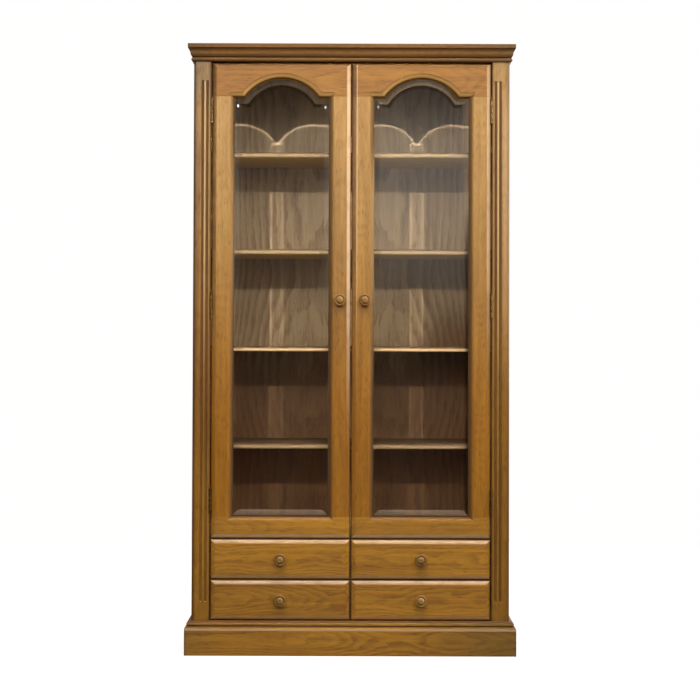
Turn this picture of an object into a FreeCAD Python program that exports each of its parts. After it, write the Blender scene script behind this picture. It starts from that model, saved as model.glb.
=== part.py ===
import FreeCAD, Part
import math
import os
import Sketcher

# Glazed bookcase: two arched glass doors over four drawers, between fluted pilasters.
# Millimetres. X runs across, Y runs from the front to the back, Z runs up from the floor.
# The origin is on the floor, in the middle of the bookcase's outer box.

os.makedirs("parts", exist_ok=True)
doc = FreeCAD.newDocument("bookcase")

SIZES = {
    # Carcass
    "carcass_width": 982,
    "carcass_depth": 350,
    "side_thickness": 20,
    "board_thickness": 19,
    "back_thickness": 8,
    "back_rebate": 10,
    "top_thickness": 20,
    "housing_depth": 6,
    "divider_thickness": 18,
    "head_rail_height": 36,
    "head_rail_thickness": 20,
    "glue_block": 30,
    "glue_block_length": 60,
    # Fronts, which lie over the rails with an even gap round them
    "reveal": 3,
    "front_thickness": 22,
    "front_rest": 1,
    "edge_width": 13,
    "edge_step": 1.5,
    "edge_drop": 6.5,
    # Pilasters
    "pilaster_width": 55,
    "outer_arris": 8,
    "inner_arris": 1.5,
    "flute_width": 8.5,
    "flute_inset": 12.3,
    "flute_spacing": 14.4,
    "flute_end_margin": 58,
    # Plinth
    "plinth_height": 104,
    "plinth_overhang": 20,
    "plinth_bead_height": 11.5,
    "plinth_bead_round": 8,
    "plinth_bead_overhang": 13.5,
    "plinth_quirk_height": 3.5,
    "plinth_quirk_depth": 4,
    "plinth_shoulder_round": 8.5,
    # Cornice
    "cornice_height": 54,
    "cornice_overhang": 17.5,
    "cornice_inside": 12,
    "cornice_fillet": 13,
    "cornice_soffit": 2,
    "cyma_foot": 5,
    "cornice_quirk": 2,
    "cornice_bead_radius": 6,
    "cornice_bead_overhang": 1.5,
    # Shelves
    "shelf_thickness": 16,
    "shelf_spacing": 303.6,
    "shelf_round": 6,
    "shelf_setback": 20,
    "shelf_end_gap": 1,
    "peg_radius": 2.5,
    "peg_depth": 10,
    "peg_reach": 12,
    "peg_inset": 40,
    # Doors
    "door_height": 1475,
    "stile_width": 64.25,
    "door_top_rail": 105.4,
    "door_bottom_rail": 66,
    "arch_chord": 232,
    "arch_rise": 59,
    "sight_width": 14,
    "sight_step": 1.5,
    "sight_drop": 8,
    "rebate_width": 9,
    "rebate_seat": 10,
    "tenon_inset": 15.5,
    "tenon_seat": 8,
    "tenon_thickness": 8,
    "tenon_length": 30,
    "joint_clearance": 0.1,
    # Glass
    "glass_thickness": 5,
    "glass_edge": 2.5,
    "glass_bevel": 28,
    "glass_play": 1,
    "glass_bed": 0.2,
    # Hinges
    "hinge_height": 76,
    "hinge_from_top": 149,
    "hinge_from_bottom": 116,
    "hinge_proud": 1,
    "knuckle_radius": 3.75,
    "leaf_thickness": 2,
    "leaf_width": 18,
    "leaf_play": 0.3,
    "pin_radius": 2,
    "pin_play": 0.05,
    "pin_head_radius": 3.1,
    "pin_head": 1.2,
    "hinge_clearance": 0.4,
    # Catches
    "catch_from_centre": 12,
    "catch_width": 36,
    "catch_height": 14,
    "catch_depth": 20,
    "catch_gap": 0.5,
    "strike_thickness": 1.2,
    "strike_margin": 1,
    # Drawers
    "drawer_height": 122.5,
    "drawer_rail_thickness": 18,
    "drawer_rail_depth": 50,
    "drawer_side": 12,
    "drawer_lift": 8,
    "drawer_headroom": 4.2,
    "drawer_inset": 3,
    "drawer_side_play": 1,
    "drawer_slide_play": 0.3,
    "drawer_back_space": 12,
    "drawer_dado": 8,
    "drawer_bottom": 6,
    "drawer_bottom_lift": 8,
    "drawer_groove": 6,
    "runner_lap": 4,
    "guide_height": 30,
    # Knobs
    "knob_radius": 19,
    "knob_projection": 27,
    "knob_spigot_radius": 5,
    "knob_spigot_length": 15,
    "left_knob_inset": 34,
    "right_knob_inset": 41,
    # How far every cutting shape runs past what it cuts
    "overrun": 5,
}

# A swelling share is the tangent of a quarter of an arc's angle. It is positive where the
# arc swells to the right of the way from corner to corner, and negative to the left.
QUARTER_ROUND_SHARE = math.tan(math.pi / 8)
EDGE_SWELL_SHARE = 0.18
SIGHT_SWELL_SHARE = 0.22
CYMA_SWELL_SHARE = 0.22

# The turned knob from its foot to its middle: share of the radius, share of the
# projection, and the swelling of the arc that arrives there.
KNOB_PROFILE_SHARES = (
    (0.55, 0.00, 0),
    (0.45, 0.16, 0.20),
    (0.72, 0.42, 0.25),
    (0.96, 0.56, -0.10),
    (0.98, 0.72, -0.30),
    (0.82, 0.85, -0.22),
    (0.70, 0.80, -0.20),
    (0.62, 0.78, 0.30),
    (0.56, 0.86, 0.10),
    (0.15, 1.00, -0.20),
    (0.10, 0.97, 0),
    (0.00, 0.95, 0),
)

SHELF_COUNT = 4
KNUCKLE_COUNT = 5
SIDES = {"left": -1, "right": 1}
ROWS = ("lower", "upper")

sheet = doc.addObject("Spreadsheet::Sheet", "Sizes")
for row, (alias, value) in enumerate(SIZES.items(), start=1):
    sheet.set(f"A{row}", alias)
    sheet.set(f"B{row}", str(value))
    sheet.setAlias(f"B{row}", alias)
doc.recompute()


class Length:
    """A length now, together with the expression that ties it to the sheet."""

    def __init__(self, value, text):
        self.value = float(value)
        self.text = text

    def __add__(self, other):
        return Length(self.value + other.value, f"({self.text} + {other.text})")

    def __sub__(self, other):
        return Length(self.value - other.value, f"({self.text} - {other.text})")

    def __mul__(self, share):
        return Length(self.value * share, f"({self.text} * {share:.9g})")

    def __truediv__(self, count):
        return Length(self.value / count, f"({self.text} / {count})")

    def __neg__(self):
        return Length(-self.value, f"(0 - {self.text})")


class Sheet:
    """The sheet's cells, each as a Length under its own alias."""

    def __getattr__(self, alias):
        return Length(SIZES[alias], "Sizes." + alias)


def hypotenuse(a, b):
    text = f"sqrt(({a.text}) ^ 2 + ({b.text}) ^ 2)"
    return Length(math.hypot(a.value, b.value), text)


def arc_radius(half_chord, rise):
    """The radius of an arc from half its chord and its rise."""
    value = (half_chord.value ** 2 + rise.value ** 2) / (2 * rise.value)
    text = f"((({half_chord.text}) ^ 2 + ({rise.text}) ^ 2) / (2 * {rise.text}))"
    return Length(value, text)


size = Sheet()
ZERO = Length(0, "0")

# Places across the bookcase, from its middle
half = size.carcass_width / 2
inner = half - size.side_thickness
pilaster_inner = half - size.pilaster_width
door_outer = pilaster_inner - size.reveal
meeting = size.reveal / 2
door_middle = (meeting + door_outer) / 2
door_half = (door_outer - meeting) / 2
hinge_across = door_outer + size.reveal / 2
divider_half = size.divider_thickness / 2

# Places from front to back
front = (size.knob_projection - size.carcass_depth) / 2
back = front + size.carcass_depth
fronts_back = front + size.front_thickness
rails_front = fronts_back + size.front_rest
panel_front = back - size.back_thickness
hinge_line = front - size.hinge_proud

# Heights from the floor
base_low = size.plinth_height - size.board_thickness
drawer_lows = {
    "lower": size.plinth_height + size.reveal,
    "upper": size.plinth_height + size.reveal * 2 + size.drawer_height,
}
door_low = size.plinth_height + size.reveal * 3 + size.drawer_height * 2
door_high = door_low + size.door_height
cornice_low = door_high + size.reveal
cornice_high = cornice_low + size.cornice_height
floor_low = door_low - meeting - size.board_thickness / 2
floor_high = floor_low + size.board_thickness
rail_high = drawer_lows["upper"] + size.drawer_lift - size.drawer_slide_play
rail_low = rail_high - size.drawer_rail_thickness
sight_low = door_low + size.door_bottom_rail
shoulder = door_high - size.door_top_rail

pieces = {}


def keep(name, piece):
    """Names a finished sub-part."""
    piece.Label = name
    pieces[name] = piece
    return piece


def place(piece, x=None, y=None, z=None):
    for axis, where in (("x", x), ("y", y), ("z", z)):
        if where is not None:
            piece.setExpression("Placement.Base." + axis, where.text)


def board(name, x, y, z):
    """A straight board from its low to its high place along each axis."""
    box = doc.addObject("Part::Box", name)
    for side, (low, high) in (("Length", x), ("Width", y), ("Height", z)):
        box.setExpression(side, (high - low).text)
    place(box, x[0], y[0], z[0])
    return box


ROD_TURNS = {
    "x": FreeCAD.Rotation(FreeCAD.Vector(0, 1, 0), 90),
    "y": FreeCAD.Rotation(FreeCAD.Vector(1, 0, 0), -90),
    "z": FreeCAD.Rotation(),
}


def rod(name, axis, radius, low, high, x=None, y=None, z=None):
    """A round bar along one axis; the other two places give its middle line."""
    bar = doc.addObject("Part::Cylinder", name)
    bar.Placement = FreeCAD.Placement(FreeCAD.Vector(), ROD_TURNS[axis])
    bar.setExpression("Radius", radius.text)
    bar.setExpression("Height", (high - low).text)
    where = {"x": x, "y": y, "z": z}
    where[axis] = low
    place(bar, **where)
    return bar


def joined(name, shapes):
    fuse = doc.addObject("Part::MultiFuse", name)
    fuse.Shapes = shapes
    fuse.Refine = True
    return fuse


def overlap(name, shapes):
    common = doc.addObject("Part::MultiCommon", name)
    common.Shapes = shapes
    common.Refine = True
    return common


def cut(name, body, tools):
    result = doc.addObject("Part::Cut", name)
    result.Base = body
    result.Tool = tools[0] if len(tools) == 1 else joined(name + "_tools", tools)
    result.Refine = True
    return result


def group(name, shapes):
    """Separate solids that share a node."""
    compound = doc.addObject("Part::Compound", name)
    compound.Links = shapes
    return compound


def across(side, near, far):
    """The low and high X of a stretch that lies on one side of the middle."""
    if side > 0:
        return near, far
    return -far, -near


def mirrored(corners, side):
    """The corners as they are, or mirrored to the left."""
    if side > 0:
        return corners
    return [(-x, y, -swell) for x, y, swell in corners]


def swapped(corners):
    """The same outline with its two directions exchanged."""
    return [(y, x, -swell) for x, y, swell in corners]


def pin_point(sketch, geometry, point, x, y):
    """Holds a sketch point at a place given by two lengths."""
    for kind, axis, where in (("DistanceX", -2, x), ("DistanceY", -1, y)):
        if where is ZERO:
            sketch.addConstraint(Sketcher.Constraint("PointOnObject", geometry, point, axis))
            continue
        number = sketch.addConstraint(Sketcher.Constraint(kind, geometry, point, where.value))
        sketch.setExpression(f"Constraints[{number}]", where.text)


def arc_between(start, end, swell):
    """An arc through two points; its ends as the sketch numbers them, start first."""
    chord = end - start
    radius = chord.Length * (1 + swell ** 2) / (4 * abs(swell))
    offset = math.copysign(math.sqrt(max(radius ** 2 - (chord.Length / 2) ** 2, 0)), swell)
    left = FreeCAD.Vector(-chord.y, chord.x, 0).normalize()
    centre = (start + end) / 2 + left * offset
    angles = [math.atan2(p.y - centre.y, p.x - centre.x) for p in (start, end)]
    ends = (1, 2)
    if swell < 0:
        angles.reverse()
        ends = (2, 1)
    circle = Part.Circle(centre, FreeCAD.Vector(0, 0, 1), radius)
    return Part.ArcOfCircle(circle, *angles), ends


def outline(body, role, corners):
    """A closed sketch through the corners, with an arc where a corner has a swelling."""
    sketch = body.newObject("Sketcher::SketchObject", body.Name + "_outline")
    plane = next(f for f in body.Origin.OriginFeatures if f.Role == role)
    sketch.AttachmentSupport = [(plane, "")]
    sketch.MapMode = "FlatFace"
    points = [FreeCAD.Vector(x.value, y.value, 0) for x, y, swell in corners]
    edges = []
    ends = []
    for number, (x, y, swell) in enumerate(corners):
        if swell:
            edge, edge_ends = arc_between(points[number - 1], points[number], swell)
        else:
            edge = Part.LineSegment(points[number - 1], points[number])
            edge_ends = (1, 2)
        edges.append(edge)
        ends.append(edge_ends)
    sketch.addGeometry(edges, False)
    for number, (x, y, swell) in enumerate(corners):
        following = (number + 1) % len(corners)
        meet = (number, ends[number][1], following, ends[following][0])
        sketch.addConstraint(Sketcher.Constraint("Coincident", *meet))
        pin_point(sketch, number, ends[number][1], x, y)
        if swell:
            last_x, last_y, last_swell = corners[number - 1]
            chord = hypotenuse(x - last_x, y - last_y)
            radius = chord * ((1 + swell ** 2) / (4 * abs(swell)))
            hold = sketch.addConstraint(Sketcher.Constraint("Radius", number, radius.value))
            sketch.setExpression(f"Constraints[{hold}]", radius.text)
    return sketch


def prism(name, role, corners, low, high):
    """An outline drawn on one plane and padded square to it, from low to high."""
    body = doc.addObject("PartDesign::Body", name)
    sketch = outline(body, role, corners)
    pad = body.newObject("PartDesign::Pad", name + "_pad")
    pad.Profile = sketch
    pad.setExpression("Length", (high - low).text)
    if role == "XY_Plane":
        place(body, z=low)
    elif role == "YZ_Plane":
        place(body, x=low)
    else:
        place(body, y=high)
    return body


def turned(name, corners, x, y, z):
    """An outline of radius and depth, turned about a line that runs front to back."""
    body = doc.addObject("PartDesign::Body", name)
    sketch = outline(body, "XY_Plane", corners)
    turn = body.newObject("PartDesign::Revolution", name + "_turn")
    turn.Profile = sketch
    turn.ReferenceAxis = (sketch, ["V_Axis"])
    turn.Angle = 360
    place(body, x, y, z)
    return body


def mirror_range(reach):
    return -reach, reach


def grown(span, grow):
    return span[0] - grow, span[1] + grow


# Carcass

def side_panel(word, side):
    """A side with housings for the boards, a rebate for the back and holes for the pegs."""
    name = word + "_side_panel"
    blank = board(name + "_blank", across(side, inner, half), (rails_front, back), (ZERO, cornice_low))
    housed = across(side, inner - size.overrun, inner + size.housing_depth)
    depth = (rails_front - size.overrun, panel_front)
    tools = [
        board(name + "_base_housing", housed, depth, (base_low, size.plinth_height)),
        board(name + "_floor_housing", housed, depth, (floor_low, floor_high)),
        board(
            name + "_rebate",
            across(side, inner - size.overrun, inner + size.back_rebate),
            (panel_front, back + size.overrun),
            (-size.overrun, cornice_low + size.overrun),
        ),
    ]
    radius = size.peg_radius + size.joint_clearance
    reach = across(side, inner - size.overrun, inner + size.peg_depth + size.joint_clearance)
    for number, (y, z) in enumerate(peg_places()):
        tools.append(rod(f"{name}_peg_hole_{number}", "x", radius, *reach, y=y, z=z))
    keep(name, cut(name, blank, tools))


def shelf_low(number):
    """The underside of a shelf; the shelves are spread evenly about the doors' middle."""
    centre = (door_low + door_high) / 2
    steps = number - (SHELF_COUNT - 1) / 2
    return centre + size.shelf_spacing * steps - size.shelf_thickness / 2


def peg_places():
    """Depth and height of the pegs that one side carries."""
    shelf_front = rails_front + size.shelf_setback
    depths = (shelf_front + size.peg_inset, panel_front - size.peg_inset)
    heights = [shelf_low(number) - size.peg_radius for number in range(SHELF_COUNT)]
    return [(y, z) for z in heights for y in depths]


def carcass():
    for word, side in SIDES.items():
        side_panel(word, side)
    boards_across = mirror_range(inner + size.housing_depth)
    boards_deep = (rails_front, panel_front)
    keep("bottom_board", board("bottom_board", boards_across, boards_deep, (base_low, size.plinth_height)))
    keep("cupboard_floor", board("cupboard_floor", boards_across, boards_deep, (floor_low, floor_high)))
    divider = (size.plinth_height, floor_low)
    keep("drawer_divider", board("drawer_divider", mirror_range(divider_half), boards_deep, divider))
    back_across = mirror_range(inner + size.back_rebate)
    keep("back_panel", board("back_panel", back_across, (panel_front, back), (base_low, cornice_low)))
    head = (cornice_low - size.head_rail_height, cornice_low)
    head_deep = (rails_front, rails_front + size.head_rail_thickness)
    keep("head_rail", board("head_rail", mirror_range(inner), head_deep, head))
    base = (ZERO, size.plinth_height)
    keep("base_rail", board("base_rail", mirror_range(pilaster_inner), (front, rails_front), base))
    top_across = mirror_range(half - size.cornice_inside)
    top_deep = (front + size.cornice_inside, back)
    top = (cornice_low, cornice_low + size.top_thickness)
    keep("top_panel", board("top_panel", top_across, top_deep, top))
    glue_blocks()


def glue_blocks():
    """Square blocks in the plinth's inner corners, under the bottom board."""
    blocks = []
    depths = (
        (rails_front, rails_front + size.glue_block),
        (panel_front - size.glue_block, panel_front),
    )
    for word, side in SIDES.items():
        for number, deep in enumerate(depths):
            wide = across(side, inner - size.glue_block, inner)
            tall = (base_low - size.glue_block_length, base_low)
            blocks.append(board(f"{word}_glue_block_{number}", wide, deep, tall))
    keep("glue_blocks", group("glue_blocks", blocks))


# Pilasters

def flute(name, x):
    """A half-round groove with round ends, cut into a pilaster's face."""
    radius = size.flute_width / 2
    low = size.plinth_height + size.flute_end_margin + radius
    high = cornice_low - size.flute_end_margin - radius
    shapes = [rod(name + "_run", "z", radius, low, high, x=x, y=front)]
    for word, z in (("foot", low), ("head", high)):
        ball = doc.addObject("Part::Sphere", f"{name}_{word}")
        ball.setExpression("Radius", radius.text)
        place(ball, x, front, z)
        shapes.append(ball)
    return joined(name, shapes)


def pilaster(word, side):
    name = word + "_pilaster"
    corners = [
        (half, rails_front, 0),
        (pilaster_inner, rails_front, 0),
        (pilaster_inner, front + size.inner_arris, 0),
        (pilaster_inner + size.inner_arris, front, QUARTER_ROUND_SHARE),
        (half - size.outer_arris, front, 0),
        (half, front + size.outer_arris, QUARTER_ROUND_SHARE),
    ]
    blank = prism(name + "_blank", "XY_Plane", mirrored(corners, side), ZERO, cornice_low)
    near_flute = pilaster_inner + size.flute_inset
    tools = []
    for number, x in enumerate((near_flute, near_flute + size.flute_spacing)):
        tools.append(flute(f"{name}_flute_{number}", x * side))
    relief = size.knuckle_radius + size.hinge_clearance
    for number, middle in enumerate(hinge_heights()):
        reach = size.hinge_height / 2 + size.joint_clearance
        tools.append(
            board(
                f"{name}_hinge_gain_{number}",
                across(side, pilaster_inner - size.overrun, leaf_outer()),
                (front - size.overrun, front + size.leaf_width + size.joint_clearance),
                grown((middle, middle), reach),
            )
        )
        line = {"x": hinge_across * side, "y": hinge_line}
        span = grown((middle, middle), reach + size.pin_head + size.hinge_clearance)
        tools.append(rod(f"{name}_knuckle_relief_{number}", "z", relief, *span, **line))
    keep(name, cut(name, blank, tools))


# Plinth and cornice

def plinth_profile():
    """Corners of the skirting, as overhang from the carcass and height from the floor."""
    out = size.plinth_overhang
    high = size.plinth_height
    quirk_high = high - size.plinth_bead_height
    quirk_low = quirk_high - size.plinth_quirk_height
    quirk_in = size.plinth_bead_overhang - size.plinth_quirk_depth
    return [
        (ZERO, ZERO, 0),
        (out, ZERO, 0),
        (out, quirk_low - size.plinth_shoulder_round, 0),
        (out - size.plinth_shoulder_round, quirk_low, QUARTER_ROUND_SHARE),
        (quirk_in, quirk_low, 0),
        (quirk_in, quirk_high, 0),
        (size.plinth_bead_overhang, quirk_high, 0),
        (size.plinth_bead_overhang, high - size.plinth_bead_round, 0),
        (size.plinth_bead_overhang - size.plinth_bead_round, high, QUARTER_ROUND_SHARE),
        (ZERO, high, 0),
    ]


def cornice_profile():
    """Corners of the crown moulding: a bead, a cyma and a square fillet."""
    out = size.cornice_overhang
    bead = size.cornice_bead_overhang
    radius = size.cornice_bead_radius
    quirk_low = cornice_low + radius * 2
    quirk_high = quirk_low + size.cornice_quirk
    fillet_low = cornice_high - size.cornice_fillet
    cyma_out = out - size.cornice_soffit
    return [
        (-size.cornice_inside, cornice_low, 0),
        (bead, cornice_low, 0),
        (bead + radius, cornice_low + radius, QUARTER_ROUND_SHARE),
        (bead, quirk_low, QUARTER_ROUND_SHARE),
        (bead, quirk_high, 0),
        (size.cyma_foot, quirk_high, 0),
        ((size.cyma_foot + cyma_out) / 2, (quirk_high + fillet_low) / 2, CYMA_SWELL_SHARE),
        (cyma_out, fillet_low, -CYMA_SWELL_SHARE),
        (out, fillet_low, 0),
        (out, cornice_high, 0),
        (-size.cornice_inside, cornice_high, 0),
    ]


def mitred_moulding(name, profile, out, inside):
    """A moulding across the front and its two returns, mitred at the front corners."""
    facing_front = [(front - u, z, -swell) for u, z, swell in profile]
    width = mirror_range(half + out)
    run = prism(name + "_front_run", "YZ_Plane", facing_front, *width)
    plan = [
        (-(half + out), front - out, 0),
        (half + out, front - out, 0),
        (half - inside, front + inside, 0),
        (-(half - inside), front + inside, 0),
    ]
    lows = [z.value for u, z, swell in profile]
    low = profile[lows.index(min(lows))][1]
    high = profile[lows.index(max(lows))][1]
    wedge = prism(name + "_front_mitres", "XY_Plane", plan, low, high)
    keep(name + "_front", overlap(name + "_front", [run, wedge]))
    returns = []
    for word, side in SIDES.items():
        facing_side = mirrored([(half + u, z, swell) for u, z, swell in profile], side)
        run = prism(f"{name}_{word}_run", "XZ_Plane", facing_side, front - out, back)
        plan = [
            (half - inside, front + inside, 0),
            (half + out, front - out, 0),
            (half + out, back, 0),
            (half - inside, back, 0),
        ]
        wedge = prism(f"{name}_{word}_mitre", "XY_Plane", mirrored(plan, side), low, high)
        returns.append(overlap(f"{name}_{word}_return", [run, wedge]))
    keep(name + "_returns", group(name + "_returns", returns))


# Shelves

def shelves():
    shelf_front = rails_front + size.shelf_setback
    shelf_back = panel_front - size.shelf_end_gap
    for number in range(SHELF_COUNT):
        low = shelf_low(number)
        high = low + size.shelf_thickness
        corners = [
            (shelf_back, low, 0),
            (shelf_back, high, 0),
            (shelf_front + size.shelf_round, high, 0),
            (shelf_front, high - size.shelf_round, QUARTER_ROUND_SHARE),
            (shelf_front, low + size.shelf_round, 0),
            (shelf_front + size.shelf_round, low, QUARTER_ROUND_SHARE),
        ]
        width = mirror_range(inner - size.shelf_end_gap)
        keep(f"shelf_{number + 1}", prism(f"shelf_{number + 1}", "YZ_Plane", corners, *width))
    pegs = []
    for word, side in SIDES.items():
        for number, (y, z) in enumerate(peg_places()):
            reach = across(side, inner - size.peg_reach, inner + size.peg_depth)
            pegs.append(rod(f"{word}_peg_{number}", "x", size.peg_radius, *reach, y=y, z=z))
    keep("shelf_pegs", group("shelf_pegs", pegs))


# Fronts with a moulded edge all round

def edge_outline(low, high):
    """Section through a door or drawer front, as place across it and depth."""
    drop = front + size.edge_drop
    step = front + size.edge_step
    return [
        (low, fronts_back, 0),
        (high, fronts_back, 0),
        (high, drop, 0),
        (high - size.edge_width, step, -EDGE_SWELL_SHARE),
        (high - size.edge_width, front, 0),
        (low + size.edge_width, front, 0),
        (low + size.edge_width, step, 0),
        (low, drop, -EDGE_SWELL_SHARE),
    ]


def moulded_front(name, wide, tall):
    """A slab whose four front edges carry the same moulding, mitred at the corners."""
    upright = prism(name + "_across", "XY_Plane", edge_outline(*wide), *tall)
    level = prism(name + "_upright", "YZ_Plane", swapped(edge_outline(*tall)), *wide)
    return overlap(name, [upright, level])


# Hinges

def hinge_heights():
    high = door_high - size.hinge_from_top
    low = door_low + size.hinge_from_bottom
    return (low, (low + high) / 2, high)


def leaf_outer():
    """How far from the middle the frame leaf's outer face lies."""
    return hinge_across + size.leaf_play + size.leaf_thickness


def leaf_inner():
    """How far from the middle the door leaf's inner face lies."""
    return hinge_across - size.leaf_play - size.leaf_thickness


def hinge_leaf(name, side, middle, wide, own_parity):
    """One leaf with its knuckles; the knuckles of the other leaf turn in its gaps."""
    low = middle - size.hinge_height / 2
    high = middle + size.hinge_height / 2
    line = {"x": hinge_across * side, "y": hinge_line}
    plate = board(name + "_plate", wide, (hinge_line, front + size.leaf_width), (low, high))
    barrel = rod(name + "_barrel", "z", size.knuckle_radius, low, high, **line)
    blank = joined(name + "_blank", [plate, barrel])
    bore = size.pin_radius + size.pin_play
    past = size.overrun
    tools = [rod(name + "_bore", "z", bore, low - past, high + past, **line)]
    knuckle = size.hinge_height / KNUCKLE_COUNT
    radius = size.knuckle_radius + size.leaf_play
    for number in range(KNUCKLE_COUNT):
        if number % 2 == own_parity:
            continue
        start = low + knuckle * number - size.leaf_play / 2
        end = low + knuckle * (number + 1) + size.leaf_play / 2
        tools.append(rod(f"{name}_gap_{number}", "z", radius, start, end, **line))
    return cut(name, blank, tools)


def hinge_pin(name, side, middle):
    """A pin through all the knuckles, with a flat head at each end."""
    low = middle - size.hinge_height / 2
    high = middle + size.hinge_height / 2
    line = {"x": hinge_across * side, "y": hinge_line}
    shank = rod(name + "_shank", "z", size.pin_radius, low, high, **line)
    foot = rod(name + "_foot", "z", size.pin_head_radius, low - size.pin_head, low, **line)
    head = rod(name + "_head", "z", size.pin_head_radius, high, high + size.pin_head, **line)
    return joined(name, [shank, foot, head])


def hinges():
    frame_leaves = []
    pins = []
    for word, side in SIDES.items():
        door_leaves = []
        frame_wide = across(side, hinge_across + size.leaf_play, leaf_outer())
        door_wide = across(side, leaf_inner(), hinge_across - size.leaf_play)
        for number, middle in enumerate(hinge_heights()):
            tag = f"{word}_{number}"
            frame_leaves.append(hinge_leaf("frame_leaf_" + tag, side, middle, frame_wide, 0))
            door_leaves.append(hinge_leaf("door_leaf_" + tag, side, middle, door_wide, 1))
            pins.append(hinge_pin("hinge_pin_" + tag, side, middle))
        name = word + "_door_hinge_leaves"
        keep(name, group(name, door_leaves))
    keep("frame_hinge_leaves", group("frame_hinge_leaves", frame_leaves))
    keep("hinge_pins", group("hinge_pins", pins))


# Doors

arch_radius = arc_radius(size.arch_chord / 2, size.arch_rise)
arch_centre = shoulder + size.arch_rise - arch_radius
sight_half = door_half - size.stile_width
sight_depth = size.rebate_seat
glass_half = sight_half + size.rebate_width - size.glass_play
glass_low = sight_low - size.rebate_width + size.glass_play
glass_shoulder = shoulder + size.rebate_width - size.glass_play
glass_arch = arch_radius + size.rebate_width - size.glass_play
seat_share = (SIZES["rebate_width"] - SIZES["glass_play"]) / SIZES["glass_bevel"]
bevel_rise = size.glass_thickness - size.glass_edge
glass_back = front + size.rebate_seat + size.glass_bed + size.glass_edge + bevel_rise * seat_share
glass_front = glass_back - size.glass_thickness


def sight_outline(low, high):
    """Section through the moulded opening's empty space, as place across it and depth."""
    drop = front + size.sight_drop
    step = front + size.sight_step
    return [
        (low - size.sight_width, front - size.overrun, 0),
        (high + size.sight_width, front - size.overrun, 0),
        (high + size.sight_width, step, 0),
        (high, drop, -SIGHT_SWELL_SHARE),
        (high, fronts_back + size.overrun, 0),
        (low, fronts_back + size.overrun, 0),
        (low, drop, 0),
        (low - size.sight_width, step, -SIGHT_SWELL_SHARE),
    ]


def sight_opening(name, middle):
    """The empty space of a door's opening: straight sides below, an arch between shoulders."""
    wide = (middle - sight_half, middle + sight_half)
    tall = (sight_low, shoulder)
    past = size.sight_width + size.overrun
    upright = prism(
        name + "_across", "XY_Plane", sight_outline(*wide), tall[0] - past, tall[1] + past
    )
    level = prism(
        name + "_upright", "YZ_Plane", swapped(sight_outline(*tall)), wide[0] - past, wide[1] + past
    )
    square = overlap(name + "_square", [upright, level])
    corners = [
        (ZERO, -size.overrun, 0),
        (arch_radius + size.sight_width, -size.overrun, 0),
        (arch_radius + size.sight_width, size.sight_step, 0),
        (arch_radius, size.sight_drop, -SIGHT_SWELL_SHARE),
        (arch_radius, size.front_thickness + size.overrun, 0),
        (ZERO, size.front_thickness + size.overrun, 0),
    ]
    arch = turned(name + "_arch", corners, middle, front, arch_centre)
    return joined(name, [square, arch])


def arched_plate(name, middle, grow, deep):
    """A plate of the opening's outline, grown all round, from one depth to another."""
    wide = (middle - sight_half - grow, middle + sight_half + grow)
    plate = board(name + "_square", wide, deep, (sight_low - grow, shoulder + grow))
    disc = rod(name + "_disc", "y", arch_radius + grow, *deep, x=middle, z=arch_centre)
    return joined(name, [plate, disc])


def bevelled_glass(name, middle):
    """Flat at the back; its front slopes away to a thin edge all round, arch included."""
    wedge = doc.addObject("Part::Wedge", name + "_slope")
    bevel = size.glass_bevel
    slope_back = glass_back - size.glass_edge
    faces = {
        "Xmin": middle - glass_half + bevel,
        "Xmax": middle + glass_half - bevel,
        "Zmin": glass_low + bevel,
        "Zmax": glass_shoulder - bevel,
        "X2min": middle - glass_half,
        "X2max": middle + glass_half,
        "Z2min": glass_low,
        "Z2max": glass_shoulder,
        "Ymin": glass_front,
        "Ymax": slope_back,
    }
    for face, where in faces.items():
        setattr(wedge, face, where.value)
        wedge.setExpression(face, where.text)
    wide = (middle - glass_half, middle + glass_half)
    slab = board(name + "_slab", wide, (slope_back, glass_back), (glass_low, glass_shoulder))
    cone = doc.addObject("Part::Cone", name + "_arch_slope")
    cone.Placement = FreeCAD.Placement(FreeCAD.Vector(), ROD_TURNS["y"])
    cone.setExpression("Radius1", (glass_arch - bevel).text)
    cone.setExpression("Radius2", glass_arch.text)
    cone.setExpression("Height", (slope_back - glass_front).text)
    place(cone, middle, glass_front, arch_centre)
    disc = rod(name + "_disc", "y", glass_arch, slope_back, glass_back, x=middle, z=arch_centre)
    keep(name, joined(name, [wedge, slab, cone, disc]))


def glazing_beads(name, middle):
    """Strips behind the glass: a head that follows the arch, two sides and a foot."""
    deep = (glass_back, fronts_back)
    far = (glass_back - size.overrun, fronts_back + size.overrun)
    outer = arched_plate(name + "_outer", middle, size.rebate_width, deep)
    hollow = arched_plate(name + "_hollow", middle, ZERO, far)
    ring = cut(name + "_ring", outer, [hollow])
    past = size.rebate_width + size.overrun
    wide = (middle - sight_half - past, middle + sight_half + past)
    strips = {
        "foot": (wide, (sight_low - past, sight_low)),
        "head": (wide, (shoulder, door_high)),
        "left": ((wide[0], middle), (sight_low, shoulder)),
        "right": ((middle, wide[1]), (sight_low, shoulder)),
    }
    beads = []
    for word, (strip_wide, strip_tall) in strips.items():
        window = board(f"{name}_{word}_window", strip_wide, far, strip_tall)
        beads.append(overlap(f"{name}_{word}", [ring, window]))
    keep(name, group(name, beads))


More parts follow.
